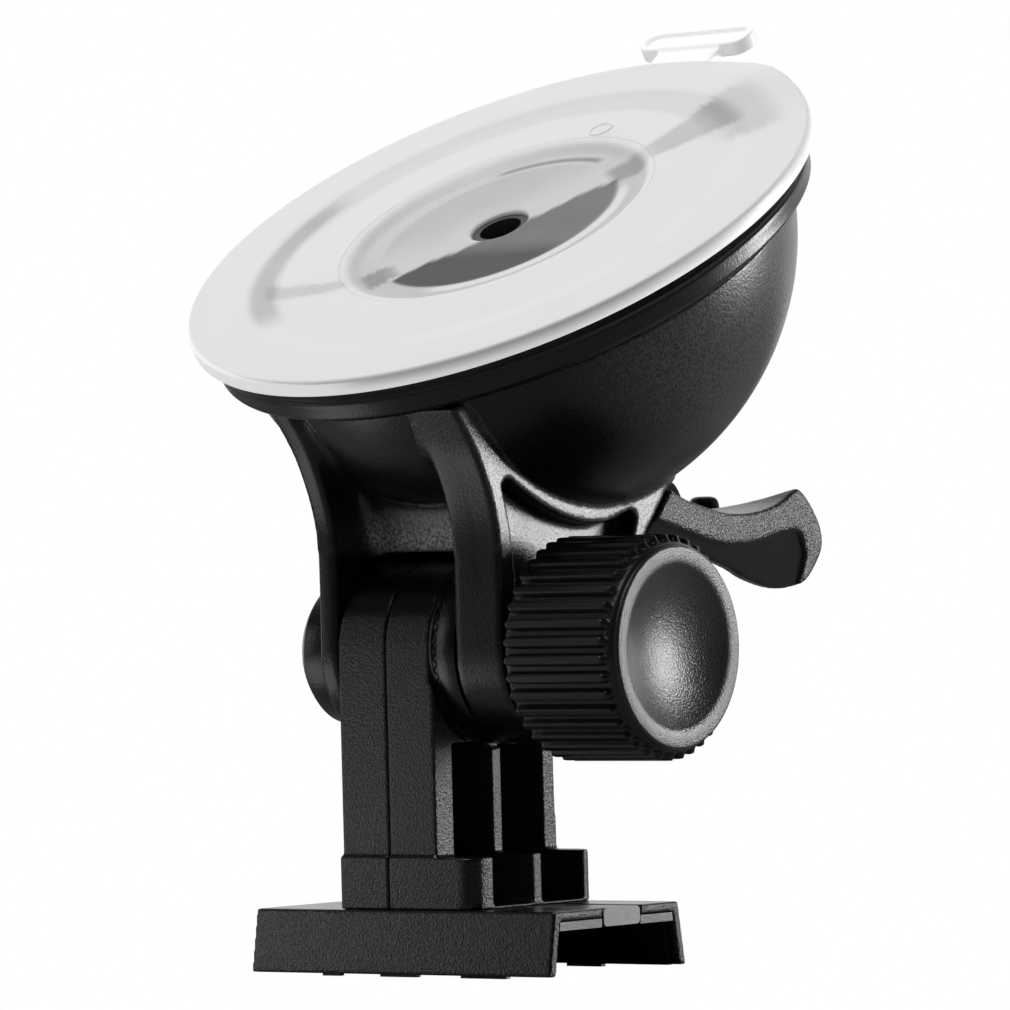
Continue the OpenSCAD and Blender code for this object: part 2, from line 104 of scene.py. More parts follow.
def soft_box(name, toward, distance, size, watts):
    """A square studio lamp that looks at the stem's head from one side."""
    light = bpy.data.lights.new(name, "AREA")
    light.shape = "RECTANGLE"
    light.size, light.size_y = size
    light.energy = watts
    lamp = bpy.data.objects.new(name, light)
    lamp.visible_camera = False
    bpy.context.scene.collection.objects.link(lamp)
    side = Vector(toward).normalized()
    lamp.location = HINGE + Vector((0, 0, 15 * MM)) + side * distance
    lamp.rotation_euler = side.to_track_quat("Z", "Y").to_euler()


def make_stage():
    """White surroundings, bright behind the object and dim in front, and four soft lamps."""
    world = bpy.data.worlds.new("studio")
    world.use_nodes = True
    tree = world.node_tree
    sky = tree.nodes["Background"]
    sky.inputs["Color"].default_value = (1, 1, 1, 1)
    place = tree.nodes.new("ShaderNodeTexCoord")
    behind = tree.nodes.new("ShaderNodeVectorMath")
    behind.operation = "DOT_PRODUCT"
    behind.inputs[1].default_value = (-0.61, 0.78, 0.12)
    dim = tree.nodes.new("ShaderNodeMapRange")
    dim.inputs["From Min"].default_value = 0.35
    dim.inputs["From Max"].default_value = 0.9
    dim.inputs["To Min"].default_value = 0.02
    dim.inputs["To Max"].default_value = 1.0
    ray = tree.nodes.new("ShaderNodeLightPath")
    seen = tree.nodes.new("ShaderNodeMath")
    seen.operation = "MAXIMUM"
    tree.links.new(place.outputs["Generated"], behind.inputs[0])
    tree.links.new(behind.outputs["Value"], dim.inputs["Value"])
    tree.links.new(dim.outputs["Result"], seen.inputs[0])
    tree.links.new(ray.outputs["Is Camera Ray"], seen.inputs[1])
    tree.links.new(seen.outputs["Value"], sky.inputs["Strength"])
    bpy.context.scene.world = world
    bpy.context.scene.view_settings.view_transform = "Standard"
    bpy.ops.mesh.primitive_plane_add(size=1.2, location=(0, 0, cad_box[0].z))
    floor = bpy.context.object
    floor.name = "floor"
    floor.visible_camera = False
    paper = bpy.data.materials.new("paper")
    paper.use_nodes = True
    shader = paper.node_tree.nodes["Principled BSDF"]
    shader.inputs["Base Color"].default_value = (0.3, 0.3, 0.3, 1)
    shader.inputs["Roughness"].default_value = 0.9
    floor.data.materials.append(paper)
    soft_box("key", (0.63, 0.77, 0.02), 0.5, (0.12, 0.2), 1.8)
    soft_box("front", (-0.8, -0.6, 0.2), 0.6, (0.15, 0.3), 0.2)
    soft_box("top", (-0.1, -0.35, 1), 0.5, (0.3, 0.3), 1.3)
    soft_box("card", (-0.62, -0.57, -0.53), 0.068, (0.03, 0.03), 0.004)


# ---- Materials ----

def noise(tree, size_mm, detail):
    """Noise that stays with the piece, with spots about size_mm across."""
    place = tree.nodes.new("ShaderNodeTexCoord")
    node = tree.nodes.new("ShaderNodeTexNoise")
    node.inputs["Scale"].default_value = 1 / (size_mm * MM)
    node.inputs["Detail"].default_value = detail
    tree.links.new(place.outputs["Object"], node.inputs["Vector"])
    return node.outputs["Fac"]


def stored(tree, name):
    """The number that store() has put on each point of the mesh."""
    node = tree.nodes.new("ShaderNodeAttribute")
    node.attribute_name = name
    return node.outputs["Fac"]


def scaled(tree, factor, low, high):
    """A factor from 0 to 1, spread from low to high."""
    node = tree.nodes.new("ShaderNodeMapRange")
    node.inputs["To Min"].default_value = low
    node.inputs["To Max"].default_value = high
    tree.links.new(factor, node.inputs["Value"])
    return node.outputs["Result"]


def plus(tree, base, factor, amount):
    """The base, and amount times the factor on top of it."""
    node = tree.nodes.new("ShaderNodeMath")
    node.operation = "MULTIPLY_ADD"
    node.inputs[1].default_value = amount
    tree.links.new(factor, node.inputs[0])
    tree.links.new(base, node.inputs[2])
    return node.outputs["Value"]


def ramp(tree, factor, low, high, first_colour, last_colour):
    """One colour up to low, another from high on, and a mix between them."""
    node = tree.nodes.new("ShaderNodeValToRGB")
    first, last = node.color_ramp.elements
    first.position, last.position = low, high
    first.color, last.color = (*first_colour, 1), (*last_colour, 1)
    tree.links.new(factor, node.inputs["Fac"])
    return node.outputs["Color"]


def shade(colour, strength):
    return [c * strength for c in colour]


def plastic(name, colour, rough, grain=0.0, grain_size=0.25, erosion_and_painted_sheen=None):
    """Moulded plastic: fine grain in its surface and slight mottling of its gloss.

    The stored number "dull" makes a face matt. Given a speckle colour, a second stored number fades the plastic to
    a speckled spark-eroded face in that colour, with rougher gloss and stronger grain; where the speckle colour is
    light it is also a painted sheen, standing in for light caught by the face."""
    mottle, mottle_mm, dull_rough, coarse_rough, grain_mm = 0.05, 6, 0.7, 0.1, 0.12
    material = bpy.data.materials.new(name)
    material.use_nodes = True
    tree = material.node_tree
    shader = tree.nodes["Principled BSDF"]
    fine = noise(tree, grain_size, 2)
    tint = ramp(tree, fine, 0.35, 0.7, shade(colour, 0.8), shade(colour, 1.25))
    gloss = scaled(tree, noise(tree, mottle_mm, 3), rough - mottle, rough + mottle)
    gloss = plus(tree, gloss, stored(tree, "dull"), dull_rough)
    bump = tree.nodes.new("ShaderNodeBump")
    bump.inputs["Strength"].default_value = grain
    bump.inputs["Distance"].default_value = grain_mm * MM
    tree.links.new(fine, bump.inputs["Height"])
    if erosion_and_painted_sheen:
        where = stored(tree, "erosion_and_painted_sheen")
        gloss = plus(tree, gloss, where, coarse_rough)
        # Speckles of the given colour: spark-eroded grain, and where that colour is light, a painted sheen
        speckles_and_sheen = ramp(tree, fine, 0.4, 0.62, shade(erosion_and_painted_sheen, 0.35), shade(erosion_and_painted_sheen, 1.6))
        mix = tree.nodes.new("ShaderNodeMix")
        mix.data_type = "RGBA"
        tree.links.new(where, mix.inputs["Factor"])
        tree.links.new(tint, mix.inputs["A"])
        tree.links.new(speckles_and_sheen, mix.inputs["B"])
        tint = mix.outputs["Result"]
        tree.links.new(scaled(tree, where, grain, 1.0), bump.inputs["Strength"])
    tree.links.new(gloss, shader.inputs["Roughness"])
    tree.links.new(tint, shader.inputs["Base Color"])
    tree.links.new(bump.outputs["Normal"], shader.inputs["Normal"])
    return material


def metal(name, colour, rough):
    """Drawn or turned metal with faint marks."""
    material = plastic(name, colour, rough, grain=0.15, grain_size=0.4)
    material.node_tree.nodes["Principled BSDF"].inputs["Metallic"].default_value = 1
    return material


def gel(name):
    """Frosted clear gel: milky, greyer over the dark parts below it, with dark streaks that are painted
    reflections and grey patches that are painted shade, and a painted glow: the gel emits light though it is no
    lamp, faintly all over and most at its edge.
    """
    milk, painted_dark_colour, haze, painted_glow_least = (0.95, 0.955, 0.96), (0.05, 0.05, 0.052), 0.07, 0.25
    material = plastic(name, milk, 0.4, grain=0.1, grain_size=0.5)
    tree = material.node_tree
    shader = tree.nodes["Principled BSDF"]
    # Painted shade and painted reflections: a stored number, with some noise, darkens the gel towards a dark tone
    painted_darkness = plus(tree, stored(tree, "painted_shade_and_reflections"), noise(tree, 5, 5), haze)
    tone = ramp(tree, painted_darkness, 0.03, 1.0, milk, painted_dark_colour)
    # Painted glow: the gel's own colour is emitted as light, more where the stored edge number is high
    painted_glow = tree.nodes.new("ShaderNodeVectorMath")
    painted_glow.operation = "SCALE"
    tree.links.new(tone, painted_glow.inputs[0])
    tree.links.new(scaled(tree, stored(tree, "painted_edge_glow"), painted_glow_least, 1.0), painted_glow.inputs["Scale"])
    tree.links.new(tone, shader.inputs["Base Color"])
    tree.links.new(painted_glow.outputs["Vector"], shader.inputs["Emission Color"])
    shader.inputs["Emission Strength"].default_value = 0.66
    shader.inputs["IOR"].default_value = 1.42
    return material


MATERIALS = {
    "clear_pad": gel("clear_pad"),
    "insert_plastic": plastic("insert_plastic", (0.1, 0.1, 0.1), 0.4),
    "stud_plastic": plastic("stud_plastic", (0.03, 0.03, 0.03), 0.3),
    "spring_steel": metal("spring_steel", (0.6, 0.6, 0.6), 0.35),
    "bright_steel": metal("bright_steel", (0.7, 0.7, 0.72), 0.3),
    "brass": metal("brass", (0.72, 0.52, 0.22), 0.3),
    # Its light speckle colour paints a sheen on the cup's web and right arm face, standing in for the light they
    # catch
    "black_satin": plastic("black_satin", (0.007, 0.007, 0.007), 0.3, 0.22, 0.3, (0.4, 0.4, 0.4)),
    "black_texture": plastic("black_texture", (0.006, 0.006, 0.006), 0.26, 0.25, 0.25, (0.02, 0.02, 0.02)),
    "liner_black": plastic("liner_black", (0.008, 0.008, 0.008), 0.35, 0.2),
    "knob_black": plastic("knob_black", (0.011, 0.011, 0.011), 0.36, 0.3, 0.2),
    "knob_face": plastic("knob_face", (0.03, 0.03, 0.03), 0.24, 0.4, 0.2),
    "latch_grey": plastic("latch_grey", (0.12, 0.12, 0.12), 0.35),
}
SLOT_OF = {s["node"]: s["material_slot"] for s in frame["record"]["subparts"]}


# ---- Mesh tools: points are in millimetres until a piece is made ----

WELD_MM = 0.002


def store(piece, name, values):
    """Keeps one number per point of a piece for its material."""
    data = piece.data.attributes.new(name, "FLOAT", "POINT")
    data.data.foreach_set("value", np.clip(values, 0, 1).astype(float))


def per_point(mesh, what):
    """The places or the normals of a mesh's points, one row for each."""
    flat = np.empty(len(mesh.vertices) * 3)
    mesh.vertices.foreach_get(what, flat)
    return flat.reshape(-1, 3)


def make_piece(name, points, faces, body, slot, nodes=(), place=None, weld=True):
    """A new object from points in mm, riding on a CAD body in place of some CAD nodes."""
    mesh = bpy.data.meshes.new(name)
    mesh.from_pydata((np.asarray(points) * MM).tolist(), [], [list(f) for f in faces])
    if place is not None:
        mesh.transform(place)
    if weld:
        skin = bmesh.new()
        skin.from_mesh(mesh)
        bmesh.ops.remove_doubles(skin, verts=skin.verts, dist=WELD_MM * MM)
        skin.to_mesh(mesh)
        skin.free()
    mesh.polygons.foreach_set("use_smooth", [True] * len(mesh.polygons))
    mesh.materials.append(MATERIALS[slot])
    piece = bpy.data.objects.new(name, mesh)
    bpy.context.scene.collection.objects.link(piece)
    if body:
        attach(piece, body)
    if nodes:
        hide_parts(*nodes)
    return piece


def arc(centre, radius, start, end, steps=6):
    """Points on an arc about centre, angles in degrees."""
    angles = np.radians(np.linspace(start, end, steps + 1))
    return [(centre[0] + radius * math.cos(a), centre[1] + radius * math.sin(a)) for a in angles]


def revolve(profile, steps=256):
    """A closed (radius, height) outline turned about the Z axis."""
    angles = np.linspace(0, 2 * math.pi, steps, endpoint=False)
    profile = np.asarray(profile, float)
    count = len(profile)
    points = np.empty((steps, count, 3))
    points[..., 0] = np.cos(angles)[:, None] * profile[:, 0]
    points[..., 1] = np.sin(angles)[:, None] * profile[:, 0]
    points[..., 2] = profile[:, 1]
    faces = []
    for i in range(steps):
        here, there = i * count, (i + 1) % steps * count
        faces += [(here + k, there + k, there + (k + 1) % count, here + (k + 1) % count)
                  for k in range(count)]
    return points.reshape(-1, 3), faces


def remeshed(nodes, voxel, extras=()):
    """The union of some CAD nodes, and extra closed shapes, as one even skin of small quads. All in mm."""
    points, faces, base = [], [], 0
    for node in nodes:
        mesh = frame["nodes"][node].data
        points.append(per_point(mesh, "co") / MM)
        faces += [tuple(v + base for v in p.vertices) for p in mesh.polygons]
        base += len(mesh.vertices)
    for extra_points, extra_faces in extras:
        points.append(np.asarray(extra_points))
        faces += [tuple(v + base for v in f) for f in extra_faces]
        base += len(extra_points)
    mesh = bpy.data.meshes.new("blank")
    mesh.from_pydata(np.concatenate(points).tolist(), [], faces)
    work = bpy.data.objects.new("blank", mesh)
    bpy.context.scene.collection.objects.link(work)
    weld = work.modifiers.new("weld", "WELD")
    weld.merge_threshold = WELD_MM
    skin = work.modifiers.new("skin", "REMESH")
    skin.mode = "VOXEL"
    skin.voxel_size = voxel
    made = bpy.data.meshes.new_from_object(work.evaluated_get(bpy.context.evaluated_depsgraph_get()))
    skin_points = per_point(made, "co")
    quads = np.empty(len(made.loops), int)
    made.loops.foreach_get("vertex_index", quads)
    bpy.data.objects.remove(work)
    bpy.data.meshes.remove(mesh)
    bpy.data.meshes.remove(made)
    return skin_points, quads.reshape(-1, 4)


def normals_of(points, quads):
    """The direction that the skin faces at each point."""
    across = np.cross(points[quads[:, 2]] - points[quads[:, 0]], points[quads[:, 3]] - points[quads[:, 1]])
    total = np.zeros_like(points)
    for k in range(4):
        for axis in range(3):
            total[:, axis] += np.bincount(quads[:, k], across[:, axis], len(points))
    return total / np.maximum(np.linalg.norm(total, axis=1), 1e-9)[:, None]


def relax(points, quads, rounds, weight=1.0, fill_only=False):
    """Evens a skin out. With fill_only it moves only outwards, which gives inner corners a soft fillet."""
    sides = np.concatenate([quads[:, [k, (k + 1) % 4]] for k in range(4)])
    a, b = np.unique(np.sort(sides, axis=1), axis=0).T
    count = np.bincount(a, minlength=len(points)) + np.bincount(b, minlength=len(points))
    weight = np.broadcast_to(weight, len(points))
    for _ in range(rounds):
        mean = np.empty_like(points)
        for axis in range(3):
            mean[:, axis] = np.bincount(a, points[b, axis], len(points))
            mean[:, axis] += np.bincount(b, points[a, axis], len(points))
        step = mean / count[:, None] - points
        pull = 0.5 * weight
        if fill_only:
            pull = np.where((step * normals_of(points, quads)).sum(axis=1) > 0, pull, 0)
        points = points + step * pull[:, None]
    return points


def soften(points, quads, rounds, weight=1.0):
    """Takes the steps out of a skin without shrinking it."""
    for _ in range(rounds):
        points = relax(points, quads, 1, weight)
        points = relax(points, quads, 1, -1.04 * np.asarray(weight))
    return points


def fade(values, start, end):
    """0 before start and 1 after end, smooth between them."""
    t = np.clip((np.asarray(values) - start) / (end - start), 0, 1)
    return t * t * (3 - 2 * t)


HINGE_MM = np.array(HINGE) / MM
CUP_UP_MM = np.array(CUP_UP)
PAD_FACE_MM = np.array(PAD_FACE) / MM
CUP_BACK_MM = np.array(IN_CUP.to_3x3() @ Vector((0, 1, 0)))


def in_cup(points):
    """The frame's points as (across, back, up) in the cup's own directions, from the pad's face."""
    away = points - PAD_FACE_MM
    return np.stack([away[:, 0], away @ CUP_BACK_MM, away @ CUP_UP_MM], axis=1)


# ---- Cup ----

DOME_R, DOME_Z = 29.7, -2.2
YOKE_HALF, POCKET_DEEP = 11.6, 2.4
POCKET_FLOOR = YOKE_HALF - POCKET_DEEP


def make_dome():
    """Dome and yoke in one moulding: soft fillets inside the yoke, a crisp line outside it.

    The dome's sphere and the right arm's flat faces are put back exactly after the skin has been softened.
    The web between the arms is spark eroded, and so, faintly, is the top of the right arm; the light speckles on
    both are a painted sheen, standing in for the light they catch."""
    points, quads = remeshed(["dome_housing"], 0.27)
    cup = in_cup(points)
    centre_gap = np.linalg.norm(cup - (0, 0, DOME_Z), axis=1)
    on_dome = (np.abs(centre_gap - DOME_R) < 0.12) & (cup[:, 2] < -6)
    outer = centre_gap > DOME_R - 0.8
    below_rim = fade(-cup[:, 2], 6.2, 8)
    hinge = points - HINGE_MM
    right_face = (points[:, 0] > YOKE_HALF - 3) & (hinge[:, 2] > -YOKE_HALF) & outer
    inside = fade(-np.abs(points[:, 0]), -YOKE_HALF + 0.3, -YOKE_HALF + 1.8) * np.where(right_face, 0, 1)
    facing = normals_of(relax(points, quads, 3), quads)[:, 0] > 0.97
    floor = right_face & facing & (np.abs(points[:, 0] - POCKET_FLOOR) < 0.2)
    face = right_face & facing & (np.abs(points[:, 0] - YOKE_HALF) < 0.2)
    points = soften(points, quads, 5)
    points = relax(points, quads, 2)
    tip = fade(hinge[:, 2], 17, 21) * (np.abs(points[:, 0]) > 5)
    points = relax(points, quads, 60, tip * below_rim * outer, fill_only=True)
    points = relax(points, quads, 90, inside * below_rim * outer, fill_only=True)
    points = relax(points, quads, 8, inside * below_rim)
    points[floor, 0] = POCKET_FLOOR
    points[face, 0] = YOKE_HALF
    cup = in_cup(points)
    away = cup - (0, 0, DOME_Z)
    reach = np.linalg.norm(away, axis=1)
    snap = on_dome & (np.abs(reach - DOME_R) < 0.15)
    shift = np.where(snap, DOME_R / reach - 1, 0)[:, None] * away
    points = points + shift @ np.array([(1, 0, 0), CUP_BACK_MM, CUP_UP_MM])
    dome = make_piece("dome_and_yoke", points, quads, "cup", "black_satin", ["dome_housing"], weld=False)
    hinge = points - HINGE_MM
    # Painted sheen: the web and, faintly, the right arm's +X-facing face get light speckles for the light they
    # catch, on top of their spark-eroded grain
    web_erosion_and_sheen = fade(-np.abs(points[:, 0] + 1.5), -8, -6.5) * fade(-hinge[:, 1], 2, 3)
    web_erosion_and_sheen *= fade(hinge[:, 2], 9.3, 10.0) * fade(-hinge[:, 2], -15, -10.5)
    sideways = fade(normals_of(points, quads)[:, 0], 0.6, 0.9)
    arm_erosion_and_sheen = fade(points[:, 0], POCKET_FLOOR - 0.3, POCKET_FLOOR - 0.1) * outer * sideways
    arm_erosion_and_sheen *= fade(hinge[:, 2], 0, 12)
    store(dome, "erosion_and_painted_sheen", web_erosion_and_sheen + 0.12 * arm_erosion_and_sheen)


def make_rim():
    """Rim ring with a soft lip, a fine step under the pad and a rolled lower edge."""
    outline = [(27.4, -2.0), (31.2, -2.0), *arc((31.35, -2.2), 0.2, 90, 10, 4), (31.6, -3.1), (31.75, -3.25),
               *arc((31.75, -3.5), 0.25, 90, 0, 4), (31.95, -4.0), *arc((31.2, -4.9), 0.62, 10, -60, 6),
               *arc((30.6, -5.55), 0.4, -30, -90, 4), (29.35, -5.95), (29.3, -6.9), (27.4, -6.9)]
    points, faces = revolve(outline)
    make_piece("rim_lip", points, faces, "cup", "black_satin", ["rim_ring"], IN_CUP @ ASKEW)


# ---- Pad ----

PAD_R, PAD_T, JOIN_R = 33.4, 1.8, 16.9


def finely(profile, step, slope):
    """Splits the flat parts of an outline into short steps."""
    fine = []
    for (r0, z0), (r1, z1) in zip(profile, profile[1:] + profile[:1]):
        steps = max(1, int(abs(r1 - r0) / step)) if abs(z1 - z0) < slope else 1
        fine += [(r0 + (r1 - r0) * k / steps, z0 + (z1 - z0) * k / steps) for k in range(steps)]
    return fine


def make_pad():
    """Clear pad: flat ring, shallow recess, a lip that lifts a little at the back, and a pull tab."""
    top_outer = [(JOIN_R, -0.1), (24.8, -0.12), (25.6, -0.1), (26.6, -0.04), (27.6, 0), (29, 0),
                 *arc((PAD_R - 0.35, -0.35), 0.35, 90, 0, 5),
                 *arc((PAD_R - 0.45, -PAD_T + 0.45), 0.45, 0, -90, 5),
                 (26, -PAD_T), (23, -2.4), (JOIN_R, -2.4)]
    points, faces = revolve(finely(top_outer, 0.3, 0.4), 360)
    reach = np.hypot(points[:, 0], points[:, 1])
    angle = np.degrees(np.arctan2(points[:, 1], points[:, 0]))
    points[:, 2] += 0.7 * np.exp(-((angle - 58) / 11) ** 2) * fade(reach, 26.5, PAD_R)
    outer = make_piece("pad_outer", points, faces, "cup", "clear_pad", ["suction_pad"], IN_CUP @ ASKEW)
    wall = [(r, -0.9 + 0.8 * float(fade(r, 14.7, 16.8))) for r in np.linspace(14.7, 16.8, 9)]
    skin = [(3.1, -1.1), (3.2, -0.95), (3.5, -0.9), *wall, (JOIN_R, -0.1), (JOIN_R, -2.4), (3.1, -2.4)]
    points, faces = revolve(finely(skin, 0.3, 0.1), 360)
    middle = make_piece("pad_middle", points, faces, None, "clear_pad", (), IN_CUP @ ASKEW)
    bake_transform(middle)
    ring = arc((1.25, -0.1), 0.16, 0, 330, 11)
    points, faces = revolve(ring, 48)
    points += (1.2, 18.6, 0)
    mark = make_piece("pad_mould_ring", points, faces, "cup", "clear_pad", (), IN_CUP @ ASKEW)
    # Each gel piece gets its painted reflections, painted shade and painted glow
    for piece in (outer, middle, mark, make_tab()):
        paint_gel_light(piece)


def make_tab():
    """Pull tab: a short neck and a long rounded head with a raised lip round it."""
    neck, half, head_r, lip, sideways = 4.0, 5.2, 1.9, 0.7, 1.3
    middle = PAD_R + 6.6 - head_r
    points, faces = [], []

    def shell(rings):
        """A closed band through rings of (outline, height), joined to itself."""
        count, base = len(rings[0][0]), len(points)
        for outline, z in rings:
            points.extend((x, y, z) for x, y in outline)
        for layer in range(len(rings)):
            here, there = base + layer * count, base + (layer + 1) % len(rings) * count
            faces.extend((here + k, here + (k + 1) % count, there + (k + 1) % count, there + k)
                         for k in range(count))

    def slab(outline, low, high):
        """A flat plate between two heights."""
        count, base = len(outline), len(points)
        points.extend([(x, y, z) for z in (low, high) for x, y in outline])
        faces.append(tuple(base + k for k in reversed(range(count))))
        faces.append(tuple(base + count + k for k in range(count)))
        faces.extend((base + k, base + (k + 1) % count, base + count + (k + 1) % count, base + count + k)
                     for k in range(count))

    head, inner = [arc((half, middle), r, -90, 90, 12) + arc((-half, middle), r, 90, 270, 12)
                   for r in (head_r, head_r - lip)]
    slab(head, -1.6, -0.7)
    shell([(head, -1.7), (head, -0.1), (inner, -0.1), (inner, -1.7)])
    low = middle - head_r + 0.4
    slab([(-neck - 0.8, PAD_R - 1.2), (neck + 0.8, PAD_R - 1.2), (neck, PAD_R + 0.4), (neck, low),
          (-neck, low), (-neck, PAD_R + 0.4)], -1.55, -0.45)
    skin, quads = remeshed((), 0.14, [(points, faces)])
    skin = soften(skin, quads, 4)
    skin = relax(skin, quads, 4)
    skin[:, 0] += sideways
    skin[:, 2] += 0.5 * fade(skin[:, 1], PAD_R - 1, PAD_R + 6)
    return make_piece("pad_tab", skin, quads, "cup", "clear_pad", (), IN_CUP @ ASKEW, weld=False)


def paint_gel_light(piece):
    """Stores how dark the gel looks at each point: the insert below it with painted highlights and painted
    reflections over it, soft dark streaks in its face that are painted reflections, painted shade in the recess,
    on the tab's underside and along the brim, and how strongly each point gets the painted glow.
    """
    if piece.name == "pad_tab":
        up = per_point(piece.data, "normal") @ CUP_UP_MM
        # Painted shade on the tab's down-facing side, and a painted glow a little stronger on its upward faces
        store(piece, "painted_shade_and_reflections", 0.12 * fade(-up, -0.75, -0.3))
        store(piece, "painted_edge_glow", 0.45 + 0.05 * fade(up, 0.6, 0.9))
        return
    cup = in_cup(per_point(piece.data, "co") / MM)
    across, back = cup[:, 0], cup[:, 1]
    reach = np.hypot(across, back)
    turn = np.degrees(np.arctan2(back, across))
    ragged = 1.2 * np.sin(2.7 * reach + 0.21 * turn) * np.sin(0.9 * reach) + 0.8 * np.sin(7.3 * reach)

    def wedge(centre, half, soft=5):
        """1 within half degrees of a direction, and 0 further away."""
        gap = np.abs((turn - centre + 180) % 360 - 180)
        return fade(-gap, -half - soft, -half + soft * 0.3)

    def ring(inner, outer, soft=0.6):
        """1 between two radii, and 0 outside them."""
        return fade(reach, inner - soft, inner + soft) * fade(-reach, -outer - soft, -outer + soft)

    # Dark wedges and streaks over the flat ring are painted reflections of darker surroundings in the gel's face
    dark = 0.10 * ring(22.8, 27.0, 0.5) * wedge(110, 62, 25)
    dark += 0.34 * ring(23.9, 26.6, 0.7) * wedge(199, 27, 12)
    reflection_left = 213 + (24.4 - reach) * 1.85
    dark += 0.24 * ring(16.6, 24.6, 1.0) * wedge(reflection_left, 3.2 + ragged * 0.5, 3)
    reflection_right = 47 + (reach - 15.8) * 0.55
    spread = 4.5 + 0.35 * (reach - 15.8) + ragged * 0.3
    dark += 0.30 * ring(16.6, 26.5, 1.6) * wedge(reflection_right, spread, 3)
    dark += 0.22 * ring(24.5, 30.2, 1.6) * wedge(48, 13 + ragged, 4)
    # Over the recess and the insert: painted shade, darker on the lower side and towards one side, with a lighter
    # painted highlight on the insert's upper side
    recess = fade(-reach, -16.5, -15.6)
    insert = fade(-reach, -13.0, -12.4)
    side = 0.76 * across - 0.649 * back + 0.3 * np.sin(1.1 * across) + 0.12 * np.sin(4.1 * across)
    below = fade(side, 1.2, 2.4)
    lower = below * insert
    upper = (1 - below) * insert
    dark += recess * (0.22 + 0.1 * fade(side, -14, 6) * (1 - insert))
    dark += lower * (0.6 + 0.2 * fade(-back, 3, 9)) + upper * 0.14 * fade(-side, 0, 9)
    # A dark crescent and dark streaks round the insert are painted reflections; the bright band taken off is a
    # painted highlight
    dark += 0.42 * ring(13.3, 14.1, 0.25) * wedge(97, 24, 6)
    dark -= 0.3 * ring(12.9, 13.9, 0.3) * wedge(-30, 55, 12)
    dark += 0.3 * ring(12.2, 16.0, 0.6) * wedge(47, 7, 5)
    dark += 0.35 * ring(11.5, 15.0, 0.6) * wedge(228, 7 + ragged, 4)
    # A thin grey line along the brim is painted shade, and the brim's side wall gets the strongest painted glow
    low = fade(-cup[:, 2], 0.22, 0.34)
    brim = fade(reach, PAD_R - 0.4, PAD_R - 0.1)
    store(piece, "painted_shade_and_reflections", dark + 0.09 * brim * (1 - low))
    store(piece, "painted_edge_glow", 0.62 * brim * low)


def make_spring():
    """The return spring under the pad, with closed ends."""
    wire, coil, turns, low, high = 0.6, 6.0, 6.5, -17.95, -5.05
    steps, sides = int(turns * 48), 14
    closed, rise = 2.1 * wire, high - low
    points = []
    for i in range(steps + 1):
        t = turns * i / steps
        if t < 1:
            climb = closed * t
        elif t > turns - 1:
            climb = rise - closed * (turns - t)
        else:
            climb = closed + (rise - 2 * closed) * (t - 1) / (turns - 2)
        for k in range(sides):
            b = 2 * math.pi * k / sides
            r = coil + wire * math.cos(b)
            height = low + climb + wire * math.sin(b)
            points.append((r * math.cos(2 * math.pi * t), r * math.sin(2 * math.pi * t), height))
    faces = []
    for here in range(0, steps * sides, sides):
        there = here + sides
        faces += [(here + k, there + k, there + (k + 1) % sides, here + (k + 1) % sides)
                  for k in range(sides)]
    faces += [tuple(range(sides)), tuple(reversed(range(steps * sides, (steps + 1) * sides)))]
    spring = make_piece("spring_coil", points, faces, "cup", "spring_steel", ["return_spring"], IN_CUP)
    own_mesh(spring)


# ---- Knob ----

KNOB_BACK, KNOB_FRONT, RIBS = 12.6, 26.4, 38


